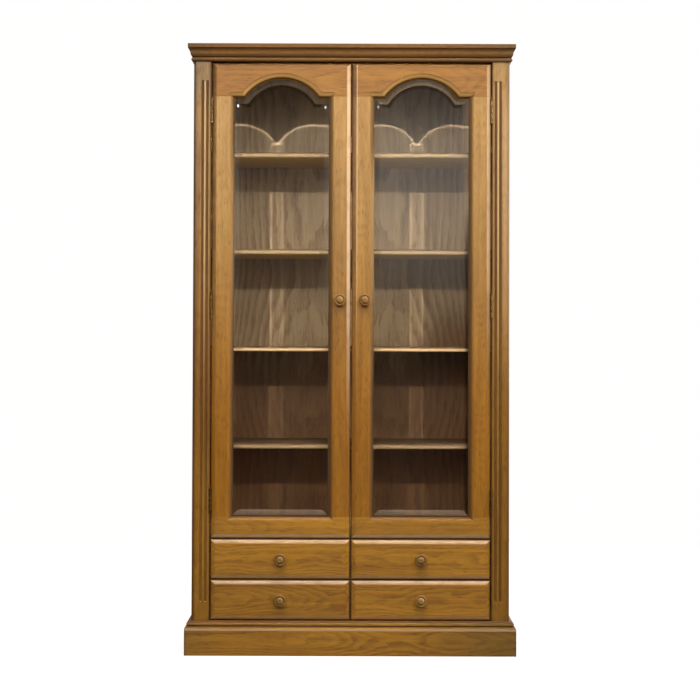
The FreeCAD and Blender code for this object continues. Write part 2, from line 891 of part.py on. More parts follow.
def door(word, side):
    name = word + "_door"
    middle = door_middle * side
    wide = across(side, meeting, door_outer)
    slab = moulded_front(name + "_slab", wide, (door_low, door_high))
    opening = sight_opening(name + "_opening", middle)
    seat = (front + size.rebate_seat, fronts_back + size.overrun)
    rebate = arched_plate(name + "_rebate", middle, size.rebate_width, seat)
    frame = cut(name + "_frame", slab, [opening, rebate])
    deep = grown((front, fronts_back), size.overrun)

    # Stiles run between the rails and enter them with tenons
    stile_places = {
        "hinge": across(side, door_outer - size.stile_width, door_outer),
        "meeting": across(side, meeting, meeting + size.stile_width),
    }
    tenon_deep = (front + size.tenon_seat, front + size.tenon_seat + size.tenon_thickness)
    knob_insets = {"left": size.left_knob_inset, "right": size.right_knob_inset}
    knob_x = (meeting + knob_insets[word]) * side
    knob_z = (door_low + door_high) / 2
    mortises = {"bottom": [], "top": []}
    for kind, stile_wide in stile_places.items():
        stile = f"{name}_{kind}_stile"
        window = board(stile + "_window", stile_wide, deep, (sight_low, shoulder))
        length = overlap(stile + "_length", [frame, window])
        tenon_wide = grown(stile_wide, -size.tenon_inset)
        tenon_tall = grown((sight_low, shoulder), size.tenon_length)
        tenons = board(stile + "_tenons", tenon_wide, tenon_deep, tenon_tall)
        shaped = joined(stile + "_shaped", [length, tenons])
        slack = size.joint_clearance
        for rail, tall in (("bottom", (tenon_tall[0], sight_low)), ("top", (shoulder, tenon_tall[1]))):
            hole = board(
                f"{stile}_{rail}_mortise",
                grown(tenon_wide, slack),
                grown(tenon_deep, slack),
                grown(tall, slack),
            )
            mortises[rail].append(hole)
        if kind == "hinge":
            tools = door_hinge_gains(stile, side)
        else:
            tools = [knob_hole(stile, knob_x, knob_z)]
        keep(stile, cut(stile, shaped, tools))

    rail_places = {"bottom": (door_low, sight_low), "top": (shoulder, door_high)}
    for rail, tall in rail_places.items():
        piece = f"{name}_{rail}_rail"
        window = board(piece + "_window", wide, deep, tall)
        length = overlap(piece + "_length", [frame, window])
        keep(piece, cut(piece, length, mortises[rail]))

    bevelled_glass(name + "_glass", middle)
    glazing_beads(name + "_glazing_beads", middle)
    knob(name + "_knob", knob_x, knob_z)
    strike_wide = grown(catch_wide(side), -size.strike_margin)
    strike_deep = (fronts_back, fronts_back + size.strike_thickness)
    strike_tall = grown(catch_tall(), -size.strike_margin)
    keep(name + "_strike", board(name + "_strike", strike_wide, strike_deep, strike_tall))


def door_hinge_gains(stile, side):
    gains = []
    for number, middle in enumerate(hinge_heights()):
        gains.append(
            board(
                f"{stile}_gain_{number}",
                across(side, leaf_inner(), door_outer + size.overrun),
                (front - size.overrun, front + size.leaf_width + size.joint_clearance),
                grown((middle, middle), size.hinge_height / 2 + size.joint_clearance),
            )
        )
    return gains


def catch_wide(side):
    return across(side, size.catch_from_centre, size.catch_from_centre + size.catch_width)


def catch_tall():
    high = cornice_low - size.head_rail_height
    return high - size.catch_height, high


def door_catches():
    """Spring catches under the head rail, one behind each meeting corner."""
    catches = []
    face = fronts_back + size.strike_thickness + size.catch_gap
    for word, side in SIDES.items():
        deep = (face, face + size.catch_depth)
        catches.append(board(word + "_catch", catch_wide(side), deep, catch_tall()))
    keep("door_catches", group("door_catches", catches))


# Knobs

def knob(name, x, z):
    """A turned knob with a spigot that enters the front it is fixed to."""
    corners = [
        (ZERO, size.knob_spigot_length, 0),
        (size.knob_spigot_radius, size.knob_spigot_length, 0),
        (size.knob_spigot_radius, ZERO, 0),
    ]
    for radius_share, out_share, swell_share in KNOB_PROFILE_SHARES:
        radius = size.knob_radius * radius_share if radius_share else ZERO
        depth = -size.knob_projection * out_share if out_share else ZERO
        corners.append((radius, depth, swell_share))
    keep(name, turned(name, corners, x, front, z))


def knob_hole(name, x, z):
    radius = size.knob_spigot_radius + size.joint_clearance
    end = front + size.knob_spigot_length + size.joint_clearance
    return rod(name + "_knob_hole", "y", radius, front - size.overrun, end, x=x, z=z)


# Drawers

side_height = (
    size.drawer_height
    + size.reveal
    - size.drawer_slide_play
    - size.drawer_rail_thickness
    - size.drawer_headroom
)
box_near = divider_half + size.drawer_side_play
box_far = door_outer - size.drawer_inset
box_back = panel_front - size.drawer_back_space


def drawer(row, word, side):
    name = f"{row}_{word}_drawer"
    low = drawer_lows[row]
    wide = across(side, meeting, door_outer)
    box_low = low + size.drawer_lift
    box_high = box_low + side_height
    floor = (box_low + size.drawer_bottom_lift, box_low + size.drawer_bottom_lift + size.drawer_bottom)
    slab = moulded_front(name + "_slab", wide, (low, low + size.drawer_height))
    side_deep = (fronts_back - size.drawer_dado, box_back)
    side_spans = {
        "inner": across(side, box_near, box_near + size.drawer_side),
        "outer": across(side, box_far - size.drawer_side, box_far),
    }
    floor_near = box_near + size.drawer_side - size.drawer_groove
    floor_far = box_far - size.drawer_side + size.drawer_groove
    floor_wide = across(side, floor_near, floor_far)
    floor_deep = (fronts_back - size.drawer_groove, box_back)
    middle_x = door_middle * side
    middle_z = low + size.drawer_height / 2

    # The front is let in for the sides, the bottom and the knob
    past = fronts_back + size.overrun
    tools = [knob_hole(name, middle_x, middle_z)]
    tools.append(board(name + "_floor_slot", floor_wide, (floor_deep[0], past), floor))
    for kind, span in side_spans.items():
        tools.append(board(f"{name}_{kind}_dado", span, (side_deep[0], past), (box_low, box_high)))
    keep(name + "_front", cut(name + "_front", slab, tools))

    box = []
    for kind, span in side_spans.items():
        plank = board(f"{name}_{kind}_plank", span, side_deep, (box_low, box_high))
        groove_deep = grown((side_deep[0], box_back), size.overrun)
        groove = board(f"{name}_{kind}_groove", floor_wide, groove_deep, floor)
        box.append(cut(f"{name}_{kind}_side", plank, [groove]))
    back_wide = across(side, box_near + size.drawer_side, box_far - size.drawer_side)
    back_deep = (box_back - size.drawer_side, box_back)
    box.append(board(name + "_back", back_wide, back_deep, (floor[1], box_high)))
    keep(name + "_box", group(name + "_box", box))
    keep(name + "_bottom", board(name + "_bottom", floor_wide, floor_deep, floor))
    knob(name + "_knob", middle_x, middle_z)


def drawer_rails():
    rails = []
    for word, side in SIDES.items():
        deep = (rails_front, rails_front + size.drawer_rail_depth)
        span = across(side, divider_half, inner)
        rails.append(board(word + "_drawer_rail", span, deep, (rail_low, rail_high)))
    keep("drawer_rails", group("drawer_rails", rails))


def drawer_runners():
    """Runners under every drawer side, and guide strips beside the outer sides."""
    strips = []
    lap = size.drawer_side + size.runner_lap
    starts = {"lower": rails_front, "upper": rails_front + size.drawer_rail_depth}
    seats = {"lower": size.plinth_height, "upper": rail_low}
    for row in ROWS:
        high = drawer_lows[row] + size.drawer_lift - size.drawer_slide_play
        for word, side in SIDES.items():
            tag = f"{row}_{word}"
            deep = (starts[row], panel_front)
            tall = (seats[row], high)
            strips.append(board(tag + "_inner_runner", across(side, divider_half, box_near + lap), deep, tall))
            strips.append(board(tag + "_outer_runner", across(side, box_far - lap, inner), deep, tall))
            guide_wide = across(side, box_far + size.drawer_side_play, inner)
            guide_tall = (high, high + size.guide_height)
            strips.append(board(tag + "_guide", guide_wide, (rails_front, panel_front), guide_tall))
    keep("drawer_runners", group("drawer_runners", strips))


carcass()
for side_word, side_sign in SIDES.items():
    pilaster(side_word, side_sign)
mitred_moulding("plinth", plinth_profile(), size.plinth_overhang, ZERO)
mitred_moulding("cornice", cornice_profile(), size.cornice_overhang, size.cornice_inside)
shelves()
for side_word, side_sign in SIDES.items():
    door(side_word, side_sign)
hinges()
door_catches()
drawer_rails()
drawer_runners()
for row_word in ROWS:
    for side_word, side_sign in SIDES.items():
        drawer(row_word, side_word, side_sign)

doc.recompute()

for item in doc.Objects:
    if {"Invalid", "Error"} & set(item.State):
        raise RuntimeError(f"{item.Label} failed: {item.State}")
for name, piece in pieces.items():
    if piece.Shape.isNull() or not piece.Shape.isValid():
        raise RuntimeError(f"{name} has no valid shape")

for name, piece in pieces.items():
    piece.Shape.exportStep(f"parts/{name}.step")
    print(name, len(piece.Shape.Solids), round(piece.Shape.Volume))
print(len(pieces), "sub-parts")
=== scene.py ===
import math

import bpy
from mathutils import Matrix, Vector


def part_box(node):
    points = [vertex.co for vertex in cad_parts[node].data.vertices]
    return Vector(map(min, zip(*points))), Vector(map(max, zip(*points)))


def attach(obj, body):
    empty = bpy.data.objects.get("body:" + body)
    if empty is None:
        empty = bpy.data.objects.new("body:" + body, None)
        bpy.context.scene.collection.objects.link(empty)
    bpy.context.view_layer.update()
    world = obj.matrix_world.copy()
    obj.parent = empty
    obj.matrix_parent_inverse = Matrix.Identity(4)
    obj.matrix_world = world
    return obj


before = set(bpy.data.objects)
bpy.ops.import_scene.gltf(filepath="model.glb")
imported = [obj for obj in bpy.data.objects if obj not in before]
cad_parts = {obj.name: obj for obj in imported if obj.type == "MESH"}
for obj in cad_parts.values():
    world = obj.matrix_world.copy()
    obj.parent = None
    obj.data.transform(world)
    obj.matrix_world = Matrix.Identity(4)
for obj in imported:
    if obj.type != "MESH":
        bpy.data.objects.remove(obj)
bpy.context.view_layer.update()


# Small helpers for node trees

def feed(tree, socket, value):
    """Links a socket to another one, or gives it a value."""
    if isinstance(value, bpy.types.NodeSocket):
        tree.links.new(value, socket)
    else:
        socket.default_value = value


def node(tree, kind, inputs=(), **settings):
    """Adds a node, sets its properties and feeds its inputs."""
    made = tree.nodes.new(kind)
    for name, value in settings.items():
        setattr(made, name, value)
    pairs = inputs.items() if isinstance(inputs, dict) else enumerate(inputs)
    for key, value in pairs:
        feed(tree, made.inputs[key], value)
    return made


def calc(tree, operation, *values):
    return node(tree, "ShaderNodeMath", values, operation=operation).outputs[0]


def chain(tree, operation, first, *others):
    """Applies an operation to several values, from left to right."""
    for other in others:
        first = calc(tree, operation, first, other)
    return first


def times(tree, *factors):
    return chain(tree, "MULTIPLY", *factors)


def largest(tree, *values):
    return chain(tree, "MAXIMUM", *values)


def apart(tree, value, middle):
    """How far a value lies from a middle one, either way."""
    return calc(tree, "ABSOLUTE", calc(tree, "SUBTRACT", value, middle))


def pushed(tree, value, wave, amount):
    """A value that a noise moves up and down."""
    return calc(tree, "MULTIPLY_ADD", calc(tree, "SUBTRACT", wave, 0.5), amount, value)


def vector_calc(tree, operation, *values):
    return node(tree, "ShaderNodeVectorMath", values, operation=operation).outputs[0]


def scaled(tree, vector, factors):
    return vector_calc(tree, "MULTIPLY", vector, factors)


def length_of(tree, vector):
    made = node(tree, "ShaderNodeVectorMath", (vector,), operation="LENGTH")
    return made.outputs["Value"]


def joined(tree, *parts):
    return node(tree, "ShaderNodeCombineXYZ", parts).outputs[0]


def axes_of(tree, vector):
    return node(tree, "ShaderNodeSeparateXYZ", (vector,)).outputs


def object_place(tree):
    return node(tree, "ShaderNodeTexCoord").outputs["Object"]


def noise(tree, vector, scale, detail=2.0, roughness=0.5):
    fill = {"Vector": vector, "Scale": scale, "Detail": detail, "Roughness": roughness}
    return node(tree, "ShaderNodeTexNoise", fill).outputs["Fac"]


def drawn_noise(tree, vector, scales, detail=2.0, roughness=0.5):
    """Noise with its own scale along each axis."""
    return noise(tree, scaled(tree, vector, scales), 1.0, detail, roughness)


def spread(tree, value, low, high, to_low=0.0, to_high=1.0):
    """Maps a range of values smoothly onto another."""
    fill = {
        "Value": value,
        "From Min": low,
        "From Max": high,
        "To Min": to_low,
        "To Max": to_high,
    }
    return node(tree, "ShaderNodeMapRange", fill, interpolation_type="SMOOTHSTEP").outputs[0]


def fall(tree, value, low, high, top=1.0):
    """Full up to the low value, and nothing from the high one on."""
    return spread(tree, value, low, high, top, 0.0)


def strip(tree, value, rise, drop):
    """One between two smooth edges, each given by where it starts and ends."""
    return times(tree, spread(tree, value, *rise), fall(tree, value, *drop))


def between(tree, factor, first, second):
    """Mixes two numbers."""
    fill = {"Factor": factor, "A": first, "B": second}
    return node(tree, "ShaderNodeMix", fill).outputs[0]


def blend(tree, factor, first, second, kind="MIX"):
    """Mixes two colours."""
    made = node(tree, "ShaderNodeMix", data_type="RGBA", blend_type=kind)
    values = {"Factor_Float": factor, "A_Color": first, "B_Color": second}
    for socket in made.inputs:
        if socket.identifier in values:
            feed(tree, socket, values[socket.identifier])
    return next(s for s in made.outputs if s.identifier == "Result_Color")


def tinted(tree, colour, tint):
    return blend(tree, 1.0, colour, tint, "MULTIPLY")


def tinted_where(tree, mask, colour, tint):
    """A colour that is multiplied by a tint where the mask is one."""
    return blend(tree, mask, colour, tinted(tree, colour, tint))


def diffuse(tree, colour):
    return node(tree, "ShaderNodeBsdfDiffuse", {"Color": colour}).outputs[0]


def mix_shaders(tree, factor, first, second):
    return node(tree, "ShaderNodeMixShader", (factor, first, second)).outputs[0]


def new_material(name):
    """An empty node material; returns it and its tree."""
    material = bpy.data.materials.new(name)
    material.use_nodes = True
    material.node_tree.nodes.clear()
    return material, material.node_tree


def new_group(name, inputs, outputs):
    """An empty node group with named sockets; returns its tree and its input and output nodes."""
    tree = bpy.data.node_groups.new(name, "ShaderNodeTree")
    for title, kind, value in inputs:
        socket = tree.interface.new_socket(name=title, in_out="INPUT", socket_type=kind)
        if value is not None:
            socket.default_value = value
    for title, kind in outputs:
        tree.interface.new_socket(name=title, in_out="OUTPUT", socket_type=kind)
    return tree, tree.nodes.new("NodeGroupInput"), tree.nodes.new("NodeGroupOutput")


# Sizes that the finish follows, in metres from the object's middle and the floor

SIDES = {"left": -1, "right": 1}

# The doors and their opening at its sight edge
DOOR_MIDDLE = 0.21725
DOOR_WIDE = 0.4315
DOOR_LOW = 0.358
DOOR_TALL = 1.475
SIGHT_HALF = 0.1515
SIGHT_LOW = 0.424
SHOULDER = 1.7276
ARCH_CENTRE = 1.6431
ARCH_RADIUS = 0.1435

# A front's moulded border: its width, and the small step inside it
BORDER = 0.0155
BORDER_STEP = 0.0134

# The pilasters: where the flutes stop, how fast they fade there, and the ridge between them
FLUTE_ENDS = (0.163, 1.778)
FLUTE_FADE = 0.008
RIDGE = 0.4555

# The radius of the ring turned on a knob's face
KNOB_RING = 0.0126

# Heights between which the painted light and shade change from those of the foot to those of the
# upper part
UPPER = (0.75, 1.35)

# Heights between which the right door's bevel changes from painted shade to painted reflection
SHADE_TO_REFLECTION = (1.25, 1.4)


# Oak: growth rings cut by the board, streaks along it, and open pores

def make_oak_grain():
    """Board space: X along the grain, Y across the face, Z through the board, in metres."""
    tree, given, out = new_group(
        "oak_grain",
        (
            ("Board", "NodeSocketVector", None),
            ("Seed", "NodeSocketFloat", 0.0),
            ("Ring Width", "NodeSocketFloat", 0.007),
            ("Pith Depth", "NodeSocketFloat", 0.09),
            ("Figure", "NodeSocketFloat", 0.5),
            ("Fleck", "NodeSocketFloat", 0.0),
            ("Light", "NodeSocketColor", (0.46, 0.24, 0.065, 1)),
            ("Dark", "NodeSocketColor", (0.2, 0.085, 0.016, 1)),
        ),
        (
            ("Colour", "NodeSocketColor"),
            ("Roughness", "NodeSocketFloat"),
            ("Height", "NodeSocketFloat"),
        ),
    )
    seed = given.outputs["Seed"]
    board = given.outputs["Board"]
    shift = joined(tree, *(times(tree, seed, step) for step in (3.17, 0.83, 1.71)))
    moved = vector_calc(tree, "ADD", board, shift)

    # Rings round a pith that wanders along the board, so that the face shows arches
    wander = drawn_noise(tree, moved, (1.6, 0.9, 0.9), 1.0)
    sway = drawn_noise(tree, moved, (5.5, 16.0, 16.0), 3.0, 0.55)
    fine_sway = drawn_noise(tree, moved, (14.0, 90.0, 90.0))
    axes = axes_of(tree, board)
    depth = calc(tree, "ADD", axes[2], given.outputs["Pith Depth"])
    depth = calc(tree, "ADD", depth, spread(tree, wander, 0.2, 0.8, -0.03, 0.03))
    radius = length_of(tree, joined(tree, 0.0, axes[1], depth))
    radius = pushed(tree, radius, sway, 0.02)
    radius = pushed(tree, radius, fine_sway, 0.004)
    turn = calc(tree, "FRACT", calc(tree, "DIVIDE", radius, given.outputs["Ring Width"]))
    early = strip(tree, turn, (0.0, 0.12), (0.2, 0.85))

    # Streaks and slow changes of tone
    fleck = given.outputs["Fleck"]
    stretch = joined(tree, calc(tree, "MULTIPLY_ADD", fleck, 9.0, 1.8), 70.0, 70.0)
    streak = drawn_noise(tree, moved, stretch, 4.0, 0.62)
    flecks = drawn_noise(tree, moved, (13.0, 105.0, 105.0))
    flecks = times(tree, spread(tree, flecks, 0.55, 0.68), fleck)
    tone = drawn_noise(tree, moved, (1.1, 7.0, 7.0))

    # Open pores, dense in the early wood
    pore = drawn_noise(tree, moved, (42.0, 1100.0, 1100.0), 1.0)
    pore = spread(tree, pore, 0.54, 0.68)
    pore = times(tree, pore, calc(tree, "MULTIPLY_ADD", early, 0.75, 0.25))

    patchy = calc(tree, "MULTIPLY_ADD", spread(tree, sway, 0.35, 0.6), 0.7, 0.3)
    ringed = times(tree, early, patchy, given.outputs["Figure"])
    dark = pushed(tree, 0.4, streak, 1.5)
    dark = pushed(tree, dark, tone, 0.9)
    dark = calc(tree, "MULTIPLY_ADD", ringed, 0.8, calc(tree, "SUBTRACT", dark, 0.12))
    dark = calc(tree, "MULTIPLY_ADD", flecks, 0.7, dark)
    dark = node(tree, "ShaderNodeClamp", (dark,)).outputs[0]
    colour = blend(tree, dark, given.outputs["Light"], given.outputs["Dark"])
    colour = blend(tree, times(tree, pore, 0.62), colour, (0.075, 0.03, 0.008, 1))
    tree.links.new(colour, out.inputs["Colour"])

    rough = calc(tree, "MULTIPLY_ADD", pore, 0.25, 0.3)
    rough = calc(tree, "MULTIPLY_ADD", tone, 0.16, rough)
    tree.links.new(rough, out.inputs["Roughness"])
    height = calc(tree, "MULTIPLY_ADD", early, -0.25, times(tree, pore, -1.0))
    tree.links.new(height, out.inputs["Height"])
    return tree


def make_border_light():
    """Masks over the moulded border of a front, for painted light and shade: one per side, mitred
    at the corners.

    Place is measured from the middle of the front; Half Size reaches to its borders."""
    tree, given, out = new_group(
        "border_light",
        (("Place", "NodeSocketVector", None), ("Half Size", "NodeSocketVector", None)),
        (
            ("Left", "NodeSocketFloat"),
            ("Right", "NodeSocketFloat"),
            ("Low", "NodeSocketFloat"),
            ("High", "NodeSocketFloat"),
            ("Left Arris", "NodeSocketFloat"),
            ("Seam", "NodeSocketFloat"),
        ),
    )
    place = given.outputs["Place"]
    half = given.outputs["Half Size"]
    below = axes_of(tree, vector_calc(tree, "ADD", half, place))
    above = axes_of(tree, vector_calc(tree, "SUBTRACT", half, place))
    gaps = {"Left": below[0], "Right": above[0], "Low": below[2], "High": above[2]}
    nearest = chain(tree, "MINIMUM", *gaps.values())
    patches = spread(tree, noise(tree, place, 22.0, 3.0, 0.6), 0.3, 0.6, 0.7, 1.0)
    fade = times(tree, fall(tree, nearest, 0.0105, BORDER), patches)
    for name, gap in gaps.items():
        mine = fall(tree, calc(tree, "SUBTRACT", gap, nearest), 0.0, 0.0008)
        tree.links.new(times(tree, mine, fade), out.inputs[name])
    arris = fall(tree, apart(tree, gaps["Left"], BORDER), 0.0008, 0.0026)
    tree.links.new(times(tree, arris, patches), out.inputs["Left Arris"])
    # Painted shade along the seam at the border's edge and along the small step inside it
    seam = fall(tree, nearest, 0.0008, 0.0034)
    step = fall(tree, apart(tree, nearest, BORDER_STEP), 0.0, 0.0014, 0.2)
    tree.links.new(largest(tree, seam, step), out.inputs["Seam"])
    return tree


def make_dust():
    """Dust on faces that look up, thicker in patches."""
    tree, given, out = new_group(
        "dust",
        (("Place", "NodeSocketVector", None), ("Amount", "NodeSocketFloat", 0.2)),
        (("Mask", "NodeSocketFloat"),),
    )
    up = axes_of(tree, node(tree, "ShaderNodeNewGeometry").outputs["Normal"])[2]
    drift = spread(tree, noise(tree, given.outputs["Place"], 7.0, 5.0, 0.65), 0.35, 0.7, 0.3, 1.0)
    mask = times(tree, spread(tree, up, 0.6, 0.95), drift, given.outputs["Amount"])
    tree.links.new(mask, out.inputs["Mask"])
    return tree


oak_grain = make_oak_grain()
border_light = make_border_light()
dust = make_dust()

# Which object axes run along, across and through a board of each kind
BOARD_AXES = {
    "upright": (2, 0, 1),
    "level": (0, 2, 1),
    "flat": (0, 1, 2),
    "deep": (1, 2, 0),
    "deep_flat": (1, 0, 2),
    "side": (2, 1, 0),
}

# Light and dark tones of each finish
OAK_TONES = {
    "oak": ((0.44, 0.215, 0.044, 1), (0.22, 0.092, 0.013, 1)),
    "rich_oak": ((0.47, 0.215, 0.019, 1), (0.21, 0.082, 0.006, 1)),
    "head_oak": ((0.32, 0.135, 0.012, 1), (0.15, 0.052, 0.004, 1)),
    "dark_oak": ((0.165, 0.066, 0.003, 1), (0.08, 0.027, 0.001, 1)),
    "knob_oak": ((0.38, 0.2, 0.042, 1), (0.18, 0.078, 0.012, 1)),
    "lining": ((0.45, 0.30, 0.152, 1), (0.255, 0.15, 0.066, 1)),
    "shelf": ((0.36, 0.245, 0.135, 1), (0.26, 0.17, 0.088, 1)),
    "pale": ((0.62, 0.45, 0.26, 1), (0.45, 0.30, 0.15, 1)),
}

# Added roughness: the level boards have less sheen than the stiles
DULLNESS = {
    "oak": 0.0,
    "rich_oak": 0.08,
    "head_oak": 0.1,
    "dark_oak": 0.25,
    "knob_oak": 0.0,
    "lining": 0.1,
    "shelf": 0.08,
    "pale": 0.25,
}

# Where the figure of each veneer leaf is centred, from the middle of the back panel
LEAF_MIDDLE = 0.14

# Painted shade in gaps and grooves, painted highlights on edges, and the tint of painted shade on
# faces turned from the light
SHADE_DARK = (0.06, 0.019, 0.001, 1)
HIGHLIGHT_PALE = (0.84, 0.57, 0.34, 1)
SHADE_TINT = (0.3, 0.21, 0.1, 1)

# How strongly a front's borders get a painted highlight, or painted shade where negative:
# left, right, low, high and the arris of the left one
BORDERS = {
    "left_door": (-0.85, 0.62, 0.4, -0.2, 0.0),
    "right_door": (-0.75, 0.4, 0.4, -0.15, 0.35),
    "drawer": (-0.15, 0.0, 0.25, 0.68, 0.0),
}

# Grooves and edges given painted shade: axis, place, half width, and heights between which they
# run
PLINTH_GROOVES = ((2, 0.0886, 0.0038, None), (2, 0.1028, 0.0042, None))
CORNICE_GROOVES = ((2, 1.8500, 0.0014, None), (2, 1.8772, 0.002, None))
GROOVES = {
    "plinth_front": PLINTH_GROOVES,
    "plinth_returns": PLINTH_GROOVES,
    "cornice_front": CORNICE_GROOVES,
    "cornice_returns": CORNICE_GROOVES,
}
for side, sign in SIDES.items():
    GROOVES[side + "_pilaster"] = (
        (0, sign * 0.4483, 0.0046, FLUTE_ENDS),
        (0, sign * 0.4627, 0.0046, FLUTE_ENDS),
        (0, sign * 0.4365, 0.0045, None),
    )

# Painted highlights along rounded edges, written as the grooves are
HIGHLIGHT_LINES = {
    "plinth_front": ((2, 0.0795, 0.0044, None),),
}

# Painted light falloff, where the long mouldings darken towards their ends: side, start and tint
# at the end
END_SHADING = {
    "plinth_front": (
        (-1, 0.38, (0.76, 0.8, 1.15, 1)),
        (1, 0.12, (0.57, 0.64, 0.95, 1)),
        (-1, 0.503, (0.55, 0.6, 0.9, 1)),
        (1, 0.503, (0.7, 0.7, 0.9, 1)),
    ),
    "cornice_front": (
        (-1, 0.4, (0.75, 0.8, 0.95, 1)),
        (1, 0.4, (0.8, 0.9, 1.2, 1)),
        (-1, 0.5, (0.5, 0.6, 0.9, 1)),
        (1, 0.5, (0.6, 0.7, 0.95, 1)),
    ),
}

# The moulding's painted shade beside the glass: where it starts and ends outside each sight edge
SIGHT_SHADES = {
    "over": (0.0005, 0.003),
    "right": (0.003, 0.0135),
    "left": (0.001, 0.012),
    "below": (0.001, 0.009),
}

# Painted glints, white spots at corners of the bevel: place across and up, and strength
CORNER_GLINTS = {
    "left": ((-0.3535, 1.6995, 1.0), (-0.0815, 1.6955, 0.45)),
    "right": ((0.0826, 1.697, 0.2),),
}

# How strong the bevel's painted reflection is under each door's arch, and how pale the painted
# shade band along its edge is where light strikes it
ARCH_REFLECTION = {"left": 0.05, "right": 0.14}
EDGE_BAND_LIGHT = {"left": 0.35, "right": 0.75}


def groove_mask(tree, place, grooves):
    """One in the grooves, fading at their rims."""
    axes = axes_of(tree, place)
    total = 0.0
    for axis, middle, half, ends in grooves:
        mask = fall(tree, apart(tree, axes[axis], middle), half * 0.35, half)
        if ends:
            low, high = ends
            rise = spread(tree, axes[2], low, low + FLUTE_FADE)
            mask = times(tree, mask, rise, fall(tree, axes[2], high - FLUTE_FADE, high))
        total = largest(tree, mask, total)
    return total


def knob_mask(tree, centred):
    """Painted shade round a turned knob's middle, in the ring on its face, on its rim and behind
    it.
    """
    axes = axes_of(tree, centred)
    radius = length_of(tree, joined(tree, axes[0], 0.0, axes[2]))
    ring = fall(tree, apart(tree, radius, KNOB_RING), 0.0008, 0.0036, 0.5)
    rim = spread(tree, radius, 0.0135, 0.018, 0.0, 0.5)
    dimple = fall(tree, radius, 0.0012, 0.0026, 0.4)
    neck = spread(tree, axes[1], -0.008, 0.0, 0.0, 0.8)
    return largest(tree, ring, rim, dimple, neck)


def door_word(name):
    """Which door a piece belongs to, or nothing."""
    return next((side for side in SIDES if name.startswith(side + "_door")), None)


def border_tones(tree, colour, name, place, centre, half, upper):
    """Painted highlights and painted shade on the borders of the doors and the drawer fronts, with
    painted shade along their seams; returns the seam's mask too.
    """
    side = door_word(name)
    if side:
        centre = Vector((DOOR_MIDDLE * SIDES[side], centre[1], DOOR_LOW + DOOR_TALL / 2))
        half = (DOOR_WIDE / 2, 0.0, DOOR_TALL / 2)
    centred = vector_calc(tree, "SUBTRACT", place, tuple(centre))
    rim = node(tree, "ShaderNodeGroup", (centred, tuple(half)), node_tree=border_light)
    highlit = upper
    if side == "left":
        # The painted highlight on the border beside the other door reaches further down
        highlit = spread(tree, axes_of(tree, place)[2], 0.6, 1.2)
    strengths = BORDERS[side + "_door" if side else "drawer"]
    for border, strength in zip(("Left", "Right", "Low", "High", "Left Arris"), strengths):
        if not strength:
            continue
        mask = times(tree, rim.outputs[border], abs(strength))
        if side and border not in ("Low", "High"):
            # The painted light and shade on the uprights' borders lose their contrast towards the
            # foot
            level = calc(tree, "MULTIPLY_ADD", upper, 0.7, 0.3) if strength < 0 else highlit
            mask = times(tree, mask, level)
        if strength > 0:
            colour = blend(tree, mask, colour, HIGHLIGHT_PALE)
        else:
            colour = tinted_where(tree, mask, colour, SHADE_TINT)
    seam = rim.outputs["Seam"]
    return blend(tree, times(tree, seam, 0.9), colour, SHADE_DARK), seam


def sight_tones(tree, colour, side, place, upper):
    """The moulding round the glass: painted shade beside it, widest on the right, and a painted
    highlight over the arch.
    """
    sight = sight_edges(tree, place, side)
    out = times(tree, sight["inside"], -1.0)
    # On the left the painted shade is clear at mid height and dark again near the shoulder
    height = axes_of(tree, place)[2]
    fade = calc(tree, "MULTIPLY_ADD", upper, -0.75, 1.0)
    fade = calc(tree, "ADD", fade, spread(tree, height, 1.38, 1.62, 0.0, 0.6))
    dark = 0.0
    for which, reach in SIGHT_SHADES.items():
        mask = fall(tree, out, *reach, 0.75)
        if which == "left":
            mask = times(tree, mask, fade)
        dark = largest(tree, times(tree, mask, sight[which]), dark)
    # A painted highlight on the moulding over the arch, where it faces down
    band = strip(tree, out, (0.0015, 0.0035), (0.006, 0.014))
    pale = times(tree, band, sight["over"], 0.3)
    colour = blend(tree, pale, colour, (0.8, 0.53, 0.2, 1))
    return blend(tree, dark, colour, SHADE_DARK), dark


def pilaster_tones(tree, colour, place, side, upper):
    """A pilaster's painted highlight on the ridge between the flutes, and painted light and shade
    at its foot, head and arris.
    """
    axes = axes_of(tree, place)
    across = times(tree, axes[0], side)
    low, high = FLUTE_ENDS
    fluted = strip(tree, axes[2], (low, low + FLUTE_FADE), (high - FLUTE_FADE, high))
    ridge = times(tree, fall(tree, apart(tree, across, RIDGE), 0.0012, 0.0034), fluted)
    ridge = times(tree, ridge, calc(tree, "MULTIPLY_ADD", upper, 0.3, 0.03))
    # The foot's tint is painted light and shade: paler at the left one's foot, darker at the right
    # one's
    foot = (0.97, 1.08, 1.45, 1) if side < 0 else (0.8, 0.88, 1.05, 1)
    colour = tinted(tree, colour, blend(tree, upper, foot, (0.88, 0.88, 0.9, 1)))
    outer = spread(tree, across, 0.466, 0.474)
    head = spread(tree, axes[2], 1.66, 1.77)
    if side < 0:
        # The left one has painted shade at mid height, further up along its outer edge only, and
        # at its head
        dull = strip(tree, axes[2], (0.5, 0.7), (1.45, 1.7))
        dull = times(tree, dull, largest(tree, outer, calc(tree, "SUBTRACT", 1.0, upper)))
        colour = tinted_where(tree, dull, colour, (0.74, 0.67, 0.66, 1))
        colour = tinted_where(tree, head, colour, (0.62, 0.64, 0.66, 1))
    colour = blend(tree, ridge, colour, HIGHLIGHT_PALE)
    if side > 0:
        # The right one's outer edge has a painted highlight in its upper part
        pale = times(tree, calc(tree, "SUBTRACT", upper, head), outer, 0.2)
        colour = blend(tree, pale, colour, HIGHLIGHT_PALE)
    rim = 0.4765 if side < 0 else 0.4785
    arris = spread(tree, across, rim, 0.487, 0.0, 0.75 if side < 0 else 0.55)
    return tinted_where(tree, arris, colour, SHADE_TINT)


